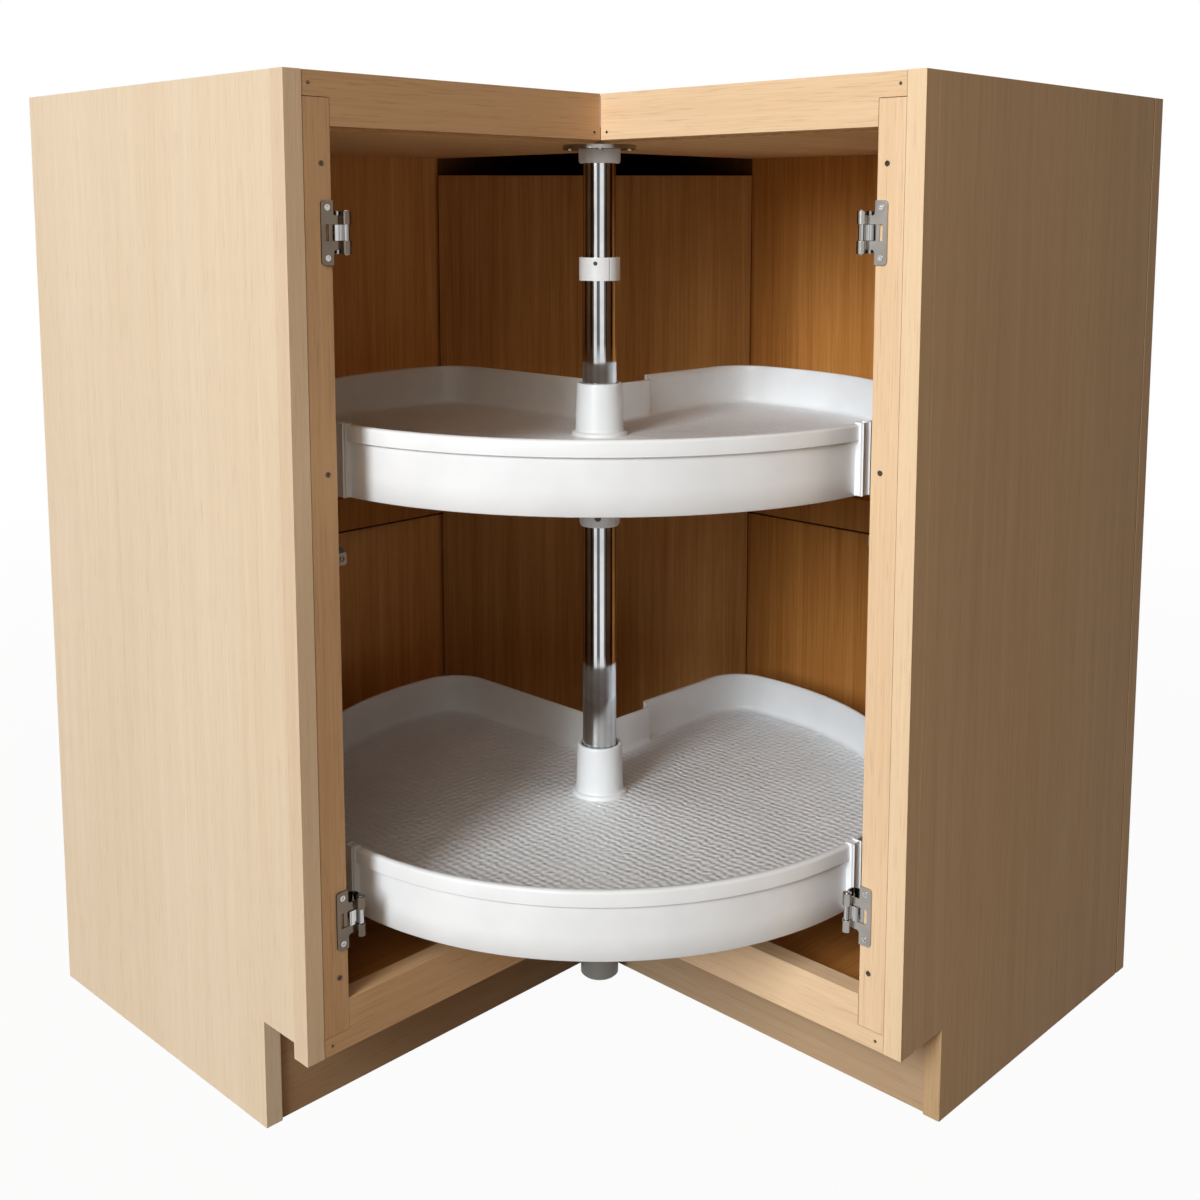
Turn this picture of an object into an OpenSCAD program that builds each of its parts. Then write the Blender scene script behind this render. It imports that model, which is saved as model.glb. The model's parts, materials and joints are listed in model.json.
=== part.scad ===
// Corner base cabinet with an open notch front and two pie-cut carousel trays on a fixed post.
// Frame: origin on the post axis at floor level, +Z up, units mm.
// The two wall sides are at +X and +Y. The notch with the two openings faces -X and -Y.
// "left" is the leg along -X (its face looks to -Y), "right" is its mirror image in the plane x = y.

/* [Cabinet] */
// overall width along each wall
cab_w = 760; // [700:1:1000]
// overall height
cab_h = 876; // [840:1:1000]
// distance from the post axis to the front of the face frame
post_inset = 40; // [34:1:60]
// end panel thickness
panel_t = 16; // [12:0.5:20]
// back panel thickness
back_t = 9; // [6:0.5:14]
// height of the underside of the face frame
toe_h = 82; // [70:1:110]
// toe notch depth behind the frame face
toe_recess = 63; // [45:1:80]
// top of the left toe notch above the frame underside
notch_extra = 14; // [2:1:20]
// top of the right toe notch above the frame underside
notch_extra_right = 1; // [0:1:20]
// toe board thickness
toe_t = 12; // [8:1:18]
// how far the toe board stands behind the notch edge
toe_set = 3; // [0:0.5:8]

// width of the strip behind the groove in the right end panel
strip_w = 17; // [12:1:40]
// width and depth of this groove
strip_groove = 2; // [1:0.5:4]

/* [Face frame] */
// face frame thickness
frame_t = 19; // [15:1:24]
// corner post width
post_w = 17; // [14:1:26]
// stile width
stile_w = 25; // [18:1:40]
// top rail height
top_rail_h = 42; // [34:1:60]
// bottom rail height
bottom_rail_h = 43; // [30:1:55]
// height of the top rail tongue over the stile
top_tongue_h = 20; // [12:1:28]
// height of the bottom rail tongue under the stile
bottom_tongue_h = 16; // [8:1:24]

/* [Inside boards] */
// underside of the top panel below the cabinet top
top_drop = 44; // [30:1:60]
// top panel thickness
top_t = 16; // [10:1:20]
// where the open rear corner of the top panel starts, from the post axis
top_open = 115; // [80:1:150]
// thickness of the board that covers this corner from above
cover_t = 6; // [3:0.5:12]
// upper face of the floor panel above the underside of the face frame
floor_rise = 30; // [17:1:36]
// floor panel thickness
floor_t = 16; // [10:1:20]
// where the diagonal corner panel meets the walls
corner_x = 100; // [85:1:150]
// diagonal corner panel thickness
corner_t = 6; // [4:0.5:12]
// gap between the diagonal corner panel and the top panel
corner_gap = 20; // [5:1:40]
// lower edge of the wall cleats
cleat_z = 408; // [380:1:440]
// wall cleat height
cleat_h = 39; // [20:1:60]
// wall cleat thickness
cleat_t = 12; // [6:1:20]

/* [Post] */
// lower tube outer radius
low_tube_r = 16.7; // [14:0.1:17.5]
// tube wall
tube_wall = 1; // [0.8:0.1:2]
// gap between the two tubes
tube_gap = 0.1; // [0.05:0.01:0.3]
// drop of the joint between the two tubes below the top panel
tube_joint_drop = 117; // [90:1:160]
// length of the upper tube inside the lower tube
tube_overlap = 90; // [40:5:120]
// top plate radius
plate_r = 35; // [28:1:45]
// top plate thickness
plate_t = 4; // [2:0.5:6]
// bearing cap radius
cap_r = 20; // [18.5:0.5:24]
// bearing cap height
cap_h = 13; // [8:1:20]
// clip collar radius
clip_r = 19.6; // [18:0.1:23]
// clip collar height
clip_h = 22; // [14:1:30]
// thrust collar radius
collar_r = 19.7; // [18:0.1:23]
// thrust collar height
collar_h = 20; // [14:1:28]
// floor socket height, which carries the lower tray
socket_h = 10.8; // [8:0.2:30]
// floor socket flange radius
socket_r = 29; // [27:0.5:29.5]
// support foot radius
foot_r = 19; // [14:0.5:24]

/* [Trays] */
// room between the tray wall and the inner edges of the stiles
tray_room = 36; // [32:1:80]
// rim height of the upper tray
up_rim_z = 596; // [570:1:610]
// tray wall height
tray_h = 61; // [50:1:70]
// inside depth, rim to floor
tray_depth = 42; // [30:1:46]
// tray wall thickness
wall_t = 3; // [2:0.5:4]
// tray floor thickness
tray_floor_t = 3; // [2:0.5:4]
// notch wall distance from the axis
notch_n = 70; // [60:1:110]
// rounding of the two lobes
lobe_r = 45; // [25:1:60]
// how far the stepped part of the notch wall is set in
jog_in = 8; // [4:0.5:12]
// how much lower the stepped part of the notch wall is
jog_drop = 4.5; // [0:0.5:12]
// where the stepped part of the notch wall ends
jog_x = 139; // [125:1:170]
// how far the lip stands proud of the wall
lip_out = 3; // [1.5:0.5:4]
// lip height
lip_h = 14; // [8:1:18]
// end rib width
rib_w = 10; // [6:0.5:14]
// end rib depth beyond the wall
rib_out = 6; // [3:0.5:7]
// hub radius at the tray floor
hub_r = 23.5; // [22:0.1:26]
// hub radius at its top
hub_top_r = 21.7; // [20.5:0.1:23]
// hub top above the rim
hub_rise = 9; // [0:1:16]
// radius of the sleeve under the tray
sleeve_r = 20.5; // [20:0.1:24]
// length of the sleeve, rim to its lower end
sleeve_l = 111; // [80:1:130]

/* [Hinges and catches] */
// centre of the upper hinges below the cabinet top
hinge_up_drop = 123; // [100:0.5:160]
// centre of the lower hinges above the frame underside
hinge_low_rise = 112.5; // [90:0.5:140]
// hinge plate height
hinge_h = 50; // [44:1:60]
// hinge plate width
hinge_w = 11; // [9:0.5:14]
// hinge sheet thickness
hinge_t = 1.6; // [1:0.1:2]
// knuckle radius
knuckle_r = 3.8; // [3.2:0.1:4.4]
// hinge pin radius
pin_r = 1.5; // [1.2:0.1:2.1]
// knuckle axis beyond the stile edge
knuckle_x = 10.5; // [9.5:0.1:14]
// height of the left catch
catch_z = 484; // [455:1:500]
// how much higher the right catch sits
catch_step = 14; // [0:1:20]
// how far the left catch reaches beyond the stile
catch_reach = 21; // [16:1:24]
// how far the right catch reaches beyond the stile
catch_reach_right = 13; // [12:1:24]

/* [Hidden] */
$fn = 48;
eps = 0.01;
run_gap = 0.08;
face_gap = 0.2;
hub_gap = 0.6;
big = 2000;
half = cab_w / 2;
face = -post_inset;
in_face = face + frame_t;
wall_in = half - back_t;
panel_in = -half + panel_t;
post_in = -half + post_w;
stile_in = post_in + stile_w;
toe_notch_y = face + toe_recess;
toe_y = toe_notch_y + toe_set;
floor_z = toe_h + floor_rise;
top_z = cab_h - top_drop;
corner_top = top_z - corner_gap;
tube_joint_z = top_z - tube_joint_drop;
hinge_up_z = cab_h - hinge_up_drop;
hinge_low_z = toe_h + hinge_low_rise;
tray_r = -stile_in - tray_room;
low_rim_z = floor_z + socket_h + face_gap + sleeve_l;
top_rail_z = cab_h - top_rail_h;
bottom_rail_top = toe_h + bottom_rail_h;
up_tube_r = low_tube_r - tube_wall + 0.3 - tube_gap;
low_tube_in = up_tube_r + tube_gap;
cap_z = top_z - plate_t - cap_h;
fine = 180;
screw_r = 1.5;
head_r = 2.5;
arm_in = 6.4;
arm_out = 13.3;
barrel_h = 16.6;
leaf_gap = 0.3;
kx = stile_in + knuckle_x;
ky = face - knuckle_r - 0.2;

MAPLE = [0.84, 0.72, 0.56];
INNER = [0.55, 0.38, 0.22];
WHITE = [0.92, 0.92, 0.91];
STEEL = [0.72, 0.72, 0.72];
DARK = [0.12, 0.12, 0.12];
GREY = [0.62, 0.62, 0.60];

// box from a low corner to a high corner
module span(a, b) { translate(a) cube([b[0] - a[0], b[1] - a[1], b[2] - a[2]]); }
// the other leg: swaps x and y
module other() { mirror([1, -1, 0]) children(); }
// a flat outline given height
module slab(z0, z1) { translate([0, 0, z0]) linear_extrude(z1 - z0) children(); }
// a round bar along z
module rod(r, z0, z1, n = 48) { translate([0, 0, z0]) cylinder(r = r, h = z1 - z0, $fn = n); }

// ---------- case ----------
module end_panel(notch_top) {
    difference() {
        span([-half, in_face, 0], [panel_in, half, cab_h]);
        span([-half - 1, in_face - 1, -1], [panel_in + 1, toe_notch_y, notch_top]);
    }
}
module end_panel_left() { color(MAPLE) end_panel(toe_h + notch_extra); }
module end_panel_right() {
    groove_y = half - strip_w - strip_groove;
    color(MAPLE) other() difference() {
        end_panel(toe_h + notch_extra_right);
        span([-half - 1, groove_y, -1], [-half + strip_groove, groove_y + strip_groove, cab_h + 1]);
    }
}
module post() { span([-half, face, toe_h], [post_in, in_face, cab_h]); }
module corner_post_left() { color(MAPLE) post(); }
module corner_post_right() { color(MAPLE) other() post(); }

// places a shape on the frame face at x and height z, with its axis running inwards
module on_face(x, z) { translate([x, face, z]) rotate([-90, 0, 0]) children(); }
screw_drop = 70;
screw_zs = [cab_h - screw_drop, 0.644 * cab_h, toe_h + 64];
screw_x = post_in + 0.65 * stile_w;
pin_x = post_in + 6;
module frame_screw() {
    cylinder(r = screw_r, h = frame_t - 3, $fn = 24);
    cylinder(r1 = 2.3, r2 = screw_r, h = 1.2, $fn = 24);
}
hinge_screw_x = stile_in - 0.5 * hinge_w;
hinge_screw_dz = hinge_h / 2 - 5.5;
module each_hinge_screw() {
    for (zc = [hinge_up_z, hinge_low_z], s = [-1, 1])
        on_face(hinge_screw_x, zc + s * hinge_screw_dz) children();
}
module stile() {
    difference() {
        span([post_in, face, toe_h + bottom_tongue_h], [stile_in, in_face, cab_h - top_tongue_h]);
        for (z = screw_zs) on_face(screw_x, z) frame_screw();
        each_hinge_screw() cylinder(r = screw_r, h = frame_t - 4, $fn = 24);
    }
}
module stile_left() { color(MAPLE) stile(); }
module stile_right() { color(MAPLE) other() stile(); }

module brad() { cylinder(r = 1.1, h = frame_t - 5, $fn = 16); }
module rail_plan() {
    polygon([[stile_in, face], [face, face], [in_face, in_face], [stile_in, in_face]]);
}
module top_rail() {
    difference() {
        union() {
            slab(top_rail_z, cab_h) rail_plan();
            span([post_in, face, cab_h - top_tongue_h], [stile_in + eps, in_face, cab_h]);
        }
        on_face(pin_x, cab_h - top_tongue_h / 2) brad();
        on_face(face - 7.5, top_rail_z + 7) brad();
    }
}
module top_rail_left() { color(MAPLE) top_rail(); }
module top_rail_right() { color(MAPLE) other() top_rail(); }
module bottom_rail() {
    difference() {
        union() {
            slab(toe_h, bottom_rail_top) rail_plan();
            span([post_in, face, toe_h], [stile_in + eps, in_face, toe_h + bottom_tongue_h]);
        }
        on_face(pin_x + 2, toe_h + bottom_tongue_h / 2) brad();
    }
}
module bottom_rail_left() { color(MAPLE) bottom_rail(); }
module bottom_rail_right() { color(MAPLE) other() bottom_rail(); }

module toe_board_left() {
    color(MAPLE) span([panel_in, toe_y, 0], [toe_y, toe_y + toe_t, floor_z - floor_t]);
}
module toe_board_right() {
    color(MAPLE) span([toe_y, panel_in, 0], [toe_y + toe_t, toe_y + toe_t, floor_z - floor_t]);
}

// an L-shaped board on both legs, its rear inner corner open from `rear` when that is inside the walls
module board_plan(rear) {
    polygon(concat(
        [[panel_in, in_face], [in_face, in_face], [in_face, panel_in], [wall_in, panel_in]],
        rear < wall_in ? [[wall_in, rear], [rear, rear], [rear, wall_in]] : [[wall_in, wall_in]],
        [[panel_in, wall_in]]));
}
module top_panel() { color(INNER) slab(top_z, top_z + top_t) board_plan(top_open); }
cover_lap = 15;
module corner_cover() {
    color(INNER) span([top_open - cover_lap, top_open - cover_lap, top_z + top_t],
        [wall_in, wall_in, top_z + top_t + cover_t]);
}
module floor_panel() { color(INNER) slab(floor_z - floor_t, floor_z) board_plan(wall_in); }
module back_panel_left() { color(INNER) span([panel_in, wall_in, 0], [wall_in, half, cab_h]); }
module back_panel_right() { color(INNER) span([wall_in, panel_in, 0], [half, half, cab_h]); }

corner_chord = (wall_in - corner_x) * sqrt(2);
corner_len = corner_chord - 2 * corner_t - 1;
module corner_panel() {
    mid = (corner_x + wall_in) / 2;
    color(INNER) translate([mid, mid, floor_z]) rotate([0, 0, 45])
        translate([0, -corner_len / 2, 0]) cube([corner_t, corner_len, corner_top - floor_z]);
}
module cleat() {
    span([panel_in, wall_in - cleat_t, cleat_z], [corner_x, wall_in, cleat_z + cleat_h]);
}
module cleat_left() { color(INNER) cleat(); }
module cleat_right() { color(INNER) other() cleat(); }

// ---------- catches on the back of the stiles ----------
catch_h = 10.5;
catch_t = 1.6;
catch_round = 2;
rivet_in = 5;
module catch_plate(z0, reach) {
    x1 = stile_in + reach;
    mid = z0 + catch_h / 2;
    difference() {
        translate([0, in_face, mid]) rotate([-90, 0, 0]) linear_extrude(catch_t) {
            translate([stile_in - 12, -catch_h / 2]) square([12 + reach - catch_round, catch_h]);
            translate([x1 - catch_round - 1, catch_round - catch_h / 2])
                square([catch_round + 1, catch_h - 2 * catch_round]);
            for (s = [-1, 1]) translate([x1 - catch_round, s * (catch_h / 2 - catch_round)])
                circle(catch_round, $fn = 24);
        }
        // ring groove round the rivet
        translate([x1 - rivet_in, in_face - 1, mid]) rotate([-90, 0, 0]) difference() {
            cylinder(r = 2.4, h = 2, $fn = 32);
            cylinder(r = 1.2, h = 3, $fn = 24);
        }
    }
}
module catch_left() { color(STEEL) catch_plate(catch_z, catch_reach); }
module catch_right() { color(STEEL) other() catch_plate(catch_z + catch_step, catch_reach_right); }
block_h = 5.5;
block_r = 5;
block_deep = 10;
module catch_block(z0, reach) {
    x0 = stile_in - 12;
    x1 = stile_in + reach - 3;
    translate([0, in_face + block_deep, z0]) rotate([90, 0, 0]) linear_extrude(block_deep) intersection() {
        translate([x0, 0]) square([x1 - x0, block_h]);
        union() {
            translate([x0, 0]) square([x1 - x0 - block_r, block_h]);
            translate([x1 - block_r, block_h - block_r]) circle(block_r, $fn = 48);
        }
    }
}
block_z = catch_z + catch_h + 0.3;
module catch_body_left() { color(DARK) catch_block(block_z, catch_reach); }
module catch_body_right() { color(DARK) other() catch_block(block_z + catch_step, catch_reach_right); }

// ---------- hinges: knuckle axis at kx, ky, all drawn about mid height 0 ----------
corner_r = 3;
fillet_r = 2.5;
window_x = 3.9;
window_w = 3.2;
tongue_t = 0.8;
module leaf_plate() {
    out_x = stile_in - hinge_w;
    y0 = face - hinge_t;
    difference() {
        union() {
            span([out_x + corner_r, y0, -hinge_h / 2], [stile_in, face, hinge_h / 2]);
            span([out_x, y0, corner_r - hinge_h / 2], [out_x + corner_r + 1, face, hinge_h / 2 - corner_r]);
            for (s = [-1, 1]) translate([out_x + corner_r, y0, s * (hinge_h / 2 - corner_r)])
                rotate([-90, 0, 0]) cylinder(r = corner_r, h = hinge_t, $fn = 32);
        }
        // a window beside the outer edge, then a thinner tongue up to the stile's edge
        span([out_x + window_x, y0 - 1, -arm_in], [out_x + window_x + window_w, face + 1, arm_in]);
        span([out_x + window_x, y0 - 1, -arm_in], [stile_in + 1, face - tongue_t, arm_in]);
        for (s = [-1, 1]) translate([hinge_screw_x, y0 - 1, s * hinge_screw_dz])
            rotate([-90, 0, 0]) cylinder(r = head_r, h = hinge_t + 2, $fn = 24);
    }
}
module hinge_frame() {
    difference() {
        union() {
            leaf_plate();
            for (z = [arm_in, -arm_out])
                span([stile_in - 1, face - hinge_t, z], [kx, face, z + arm_out - arm_in]);
            // fillets between the arms and the plate
            for (s = [-1, 1]) translate([stile_in - eps, face, s * (arm_out - eps)]) rotate([90, 0, 0])
                linear_extrude(hinge_t) difference() {
                    translate([0, s > 0 ? 0 : -fillet_r]) square(fillet_r);
                    translate([fillet_r, s * fillet_r]) circle(fillet_r, $fn = 32);
                }
            for (z = [arm_in, -barrel_h]) translate([kx, ky, z])
                cylinder(r = knuckle_r, h = barrel_h - arm_in, $fn = 40);
        }
        translate([kx, ky, -barrel_h - 1]) cylinder(r = pin_r, h = 2 * barrel_h + 2, $fn = 32);
    }
}
// the curved sheet of the door leaf runs behind the knuckles, clear of them
sheet_x = kx - 2.5;
sheet_y = ky + 8;
sheet_r = 6.2;
sheet_t = 1.2;
strap_l = knuckle_x - 0.6;
door_r = pin_r + 1.1;
module curved_sheet() {
    difference() {
        translate([sheet_x, sheet_y, -barrel_h]) cylinder(r = sheet_r, h = 2 * barrel_h, $fn = 48);
        translate([sheet_x, sheet_y, -big / 2]) cylinder(r = sheet_r - sheet_t, h = big, $fn = 48);
        span([sheet_x - 9, sheet_y - 9, -barrel_h - 1], [sheet_x + 3.9, sheet_y, barrel_h + 1]);
        span([sheet_x, sheet_y - 9, -barrel_h - 1], [sheet_x + 9, sheet_y - 3.6, barrel_h + 1]);
    }
}
module hinge_door() {
    mid_h = arm_in - leaf_gap;
    difference() {
        union() {
            translate([kx, ky, -mid_h]) cylinder(r = door_r, h = 2 * mid_h, $fn = 40);
            span([kx - strap_l, ky + door_r - hinge_t, -mid_h], [kx, ky + door_r, mid_h]);
            span([kx, ky + door_r - 1.2, -mid_h], [kx + 2.4, ky + 5.6, mid_h]);
        }
        translate([kx, ky, -mid_h - 1]) cylinder(r = pin_r + run_gap, h = 2 * mid_h + 2, $fn = 32);
    }
    difference() {
        curved_sheet();
        translate([sheet_x, sheet_y, 0]) rotate([-90, 0, -15]) cylinder(r = 1.7, h = big, $fn = 24);
    }
}
module hinge_frame_ul() { color(STEEL) translate([0, 0, hinge_up_z]) hinge_frame(); }
module hinge_frame_ll() { color(STEEL) translate([0, 0, hinge_low_z]) hinge_frame(); }
module hinge_frame_ur() { color(STEEL) other() translate([0, 0, hinge_up_z]) hinge_frame(); }
module hinge_frame_lr() { color(STEEL) other() translate([0, 0, hinge_low_z]) hinge_frame(); }
module hinge_door_ul() { color(STEEL) translate([0, 0, hinge_up_z]) hinge_door(); }
module hinge_door_ll() { color(STEEL) translate([0, 0, hinge_low_z]) hinge_door(); }
module hinge_door_ur() { color(STEEL) other() translate([0, 0, hinge_up_z]) hinge_door(); }
module hinge_door_lr() { color(STEEL) other() translate([0, 0, hinge_low_z]) hinge_door(); }

pin_head = 0.8;
module leg_pins() {
    for (zc = [hinge_up_z, hinge_low_z]) translate([kx, ky, zc]) {
        rod(pin_r, -barrel_h, barrel_h, 32);
        for (z = [barrel_h, -barrel_h - pin_head]) rod(pin_r + 0.7, z, z + pin_head, 32);
    }
}
module hinge_pins() { color(STEEL) { leg_pins(); other() leg_pins(); } }
module leg_hinge_screws() {
    each_hinge_screw() {
        cylinder(r = screw_r, h = frame_t - 4, $fn = 24);
        translate([0, 0, -hinge_t - 0.4]) difference() {
            cylinder(r = head_r, h = hinge_t + 0.4, $fn = 24);
            for (a = [0, 90]) rotate([0, 0, a + 20]) translate([-1.6, -0.4, -1]) cube([3.2, 0.8, 1.9]);
        }
    }
}
module hinge_screws() { color(STEEL) { leg_hinge_screws(); other() leg_hinge_screws(); } }
module leg_frame_screws() {
    for (z = screw_zs) on_face(screw_x, z) difference() {
        frame_screw();
        translate([0, 0, -1]) cylinder(r = 1, h = 2, $fn = 16);
    }
}
module frame_screws() { color(STEEL) { leg_frame_screws(); other() leg_frame_screws(); } }
module leg_brads() {
    on_face(pin_x, cab_h - top_tongue_h / 2) brad();
    on_face(face - 7.5, top_rail_z + 7) brad();
    on_face(pin_x + 2, toe_h + bottom_tongue_h / 2) brad();
}
module frame_pins() { color(STEEL) { leg_brads(); other() leg_brads(); } }

// ---------- post ----------
plate_screw_r = plate_r - 6.5;
plate_screw_l = top_t - 2;
module plate_spots() { for (a = [45 : 90 : 315]) rotate([0, 0, a]) translate([plate_screw_r, 0, 0]) children(); }
module top_plate() {
    color(STEEL) difference() {
        rod(plate_r, top_z - plate_t, top_z, 72);
        plate_spots() rod(2, top_z - plate_t - 1, top_z + 1, 24);
    }
}
module plate_screws() {
    color(STEEL) plate_spots() {
        rod(2, top_z - plate_t, top_z, 24);
        rod(3.6, top_z - plate_t - 1.2, top_z - plate_t, 24);
    }
}
module bearing_cap() {
    color(WHITE) difference() {
        union() {
            rod(cap_r, cap_z + 2, top_z - plate_t, 64);
            translate([0, 0, cap_z]) cylinder(r1 = cap_r - 1.2, r2 = cap_r, h = 2, $fn = 64);
        }
        rod(up_tube_r, cap_z - 1, top_z - plate_t - 2, 64);
    }
}
module pipe(ro, ri, z0, z1) {
    difference() { rod(ro, z0, z1, 64); rod(ri, z0 - 1, z1 + 1, 64); }
}
module upper_tube() {
    color(STEEL) pipe(up_tube_r, up_tube_r - tube_wall, tube_joint_z - tube_overlap, top_z - plate_t - 2);
}
module lower_tube() { color(STEEL) pipe(low_tube_r, low_tube_in, floor_z, tube_joint_z); }

// a round bar square to the post axis, from radius r0 to radius r1
module radial_bar(a, z, r, r0, r1) {
    rotate([0, 0, a]) translate([r0, 0, z]) rotate([0, 90, 0]) cylinder(r = r, h = r1 - r0, $fn = 24);
}
clip_screw_a = 212;
clip_screw_z = tube_joint_z + clip_h / 4;
clip_screw_r = 2;
split_a = 255;
split_w = 1.6;
module post_clip() {
    z0 = tube_joint_z - clip_h / 2;
    color(WHITE) difference() {
        rod(clip_r, z0, z0 + clip_h, 64);
        rotate([0, 0, split_a]) translate([clip_screw_r, -split_w / 2, z0 - 1]) cube([clip_r, split_w, clip_h + 2]);
        rod(low_tube_r, z0 - 1, tube_joint_z, 64);
        rod(up_tube_r, z0, z0 + clip_h + 1, 64);
        radial_bar(clip_screw_a, clip_screw_z, clip_screw_r + run_gap, 0, clip_r + 2);
    }
}
module clip_screw() {
    color(STEEL) radial_bar(clip_screw_a, clip_screw_z, clip_screw_r, up_tube_r, clip_r - 0.5);
}
collar_top = up_rim_z - sleeve_l - face_gap;
collar_screw_a = 219;
collar_screw_z = collar_top - collar_h / 2;
collar_screw_r = 3.2;
module thrust_collar() {
    z0 = collar_top - collar_h;
    color(WHITE) difference() {
        rotate_extrude($fn = 64) polygon([[low_tube_r, z0], [collar_r - 1, z0], [collar_r, z0 + 3],
            [collar_r, collar_top], [low_tube_r, collar_top]]);
        radial_bar(collar_screw_a, collar_screw_z, collar_screw_r, 0, collar_r + 2);
    }
}
module collar_screw() {
    color(DARK) radial_bar(collar_screw_a, collar_screw_z, collar_screw_r, low_tube_r, collar_r + 0.8);
}

socket_top = floor_z + socket_h;
socket_t = 4;
rail_gap = 0.5;
module socket_spots() { for (a = [0 : 90 : 270]) rotate([0, 0, a]) translate([socket_r - 5.5, 0, 0]) children(); }
module floor_socket() {
    color(WHITE) difference() {
        union() {
            rod(socket_r, floor_z, floor_z + socket_t, 72);
            rod(collar_r, floor_z + socket_t - eps, socket_top, 64);
        }
        // relief for the corner where the two bottom rails meet
        span([-big, -big, floor_z - 1], [in_face + rail_gap, in_face + rail_gap, floor_z + socket_t + 1]);
        rod(low_tube_r, floor_z - 1, socket_top + 1, 64);
        socket_spots() rod(2, floor_z - 1, floor_z + socket_t + 1, 24);
    }
}
module socket_screws() {
    color(STEEL) socket_spots() {
        rod(2, floor_z, floor_z + socket_t, 24);
        rod(3, floor_z + socket_t, floor_z + socket_t + 1.2, 24);
    }
}
module support_foot() {
    color(GREY) {
        cylinder(r1 = foot_r - 2, r2 = foot_r, h = 2, $fn = 64);
        rod(foot_r, 2 - eps, floor_z - floor_t, 64);
    }
}

// ---------- trays: drawn with the rim at z = 0 ----------
// plan of the tray drawn `inset` inside its outer wall: a disc with a square notch, both lobes rounded
module tray_plan(inset) {
    r = tray_r - inset;
    n = notch_n - inset;
    lobe = lobe_r - inset;
    cx = sqrt((r - lobe) * (r - lobe) - (n - lobe) * (n - lobe));
    cy = n - lobe;
    far = (r + 20) / (r - lobe);
    difference() {
        circle(r, $fn = fine);
        translate([n, n]) square(r);
        translate([n, n - jog_in]) square([jog_x - notch_n + 2 * inset, 2 * jog_in]);
        for (flip = [false, true]) lobe_side(flip) difference() {
            polygon([[cx, cy], [cx, n + 20], [r + 20, n + 20], [cx * far, cy * far]]);
            translate([cx, cy]) circle(lobe, $fn = 96);
        }
    }
}
module lobe_side(flip) { if (flip) mirror([1, -1, 0]) children(); else children(); }
floor_top = -tray_depth;
bore_r = low_tube_r + hub_gap;
bush_r = low_tube_r + 2;
bush_l = 18;
bush_sink = 3;
hub_top = hub_rise;
rib_a = -0.5;
ring_rs = [0.3 * tray_r, 0.63 * tray_r];
module tray() {
    rib_t = 2.4;
    difference() {
        union() {
            // outer wall, lower over the stepped part of the notch
            difference() {
                slab(-tray_h, 0) difference() {
                    tray_plan(0);
                    tray_plan(wall_t);
                }
                span([notch_n + eps, notch_n - jog_in - wall_t - 1, -jog_drop], [jog_x, notch_n + 1, 1]);
            }
            slab(floor_top - tray_floor_t, floor_top) tray_plan(wall_t - eps);
            // lip on the front quarter
            rotate([0, 0, 180 - rib_a]) rotate_extrude(angle = 90 + 2 * rib_a, $fn = fine)
                polygon([[tray_r - 1, -lip_h], [tray_r + lip_out - 0.6, -lip_h],
                    [tray_r + lip_out, -lip_h + 0.8], [tray_r + lip_out, -1.2],
                    [tray_r + lip_out - 1.2, 0], [tray_r - 1, 0]]);
            // end ribs of the lip
            for (a = [180 - rib_a, 270 + rib_a]) rotate([0, 0, a])
                translate([tray_r - 1, -rib_w / 2, -tray_h + 3])
                    cube([1 + rib_out, rib_w, tray_h - 4]);
            // hub above the floor with its foot ring
            translate([0, 0, floor_top - eps])
                cylinder(r1 = hub_r, r2 = hub_top_r, h = hub_top - floor_top + eps, $fn = 64);
            translate([0, 0, floor_top - eps])
                cylinder(r1 = hub_r + 4, r2 = hub_r + 3, h = 4, $fn = 64);
            // sleeve below the floor
            rod(sleeve_r, -sleeve_l, floor_top - eps, 64);
            // stiffening ribs under the floor
            slab(-tray_h + 4, floor_top - tray_floor_t + eps) intersection() {
                tray_plan(wall_t - eps);
                union() {
                    for (a = [0 : 22.5 : 157.5]) rotate([0, 0, a])
                        translate([-tray_r, -rib_t / 2]) square([2 * tray_r, rib_t]);
                    for (r = ring_rs) difference() { circle(r + rib_t, $fn = 96); circle(r, $fn = 96); }
                }
            }
        }
        rod(bore_r, -sleeve_l - 1, hub_top + 1, 64);
        rod(bush_r, hub_top - bush_l, hub_top + 1, 64);
        rod(bush_r, -sleeve_l - 1, -sleeve_l + bush_l, 64);
    }
}
module bushes() {
    pipe(bush_r, low_tube_r + run_gap, hub_top - bush_l, hub_top - bush_sink);
    pipe(bush_r, low_tube_r + run_gap, -sleeve_l, -sleeve_l + bush_l);
}
module upper_tray() { color(WHITE) translate([0, 0, up_rim_z]) tray(); }
module upper_bushes() { color(GREY) translate([0, 0, up_rim_z]) bushes(); }
module lower_tray() { color(WHITE) translate([0, 0, low_rim_z]) tray(); }
module lower_bushes() { color(GREY) translate([0, 0, low_rim_z]) bushes(); }

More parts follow.
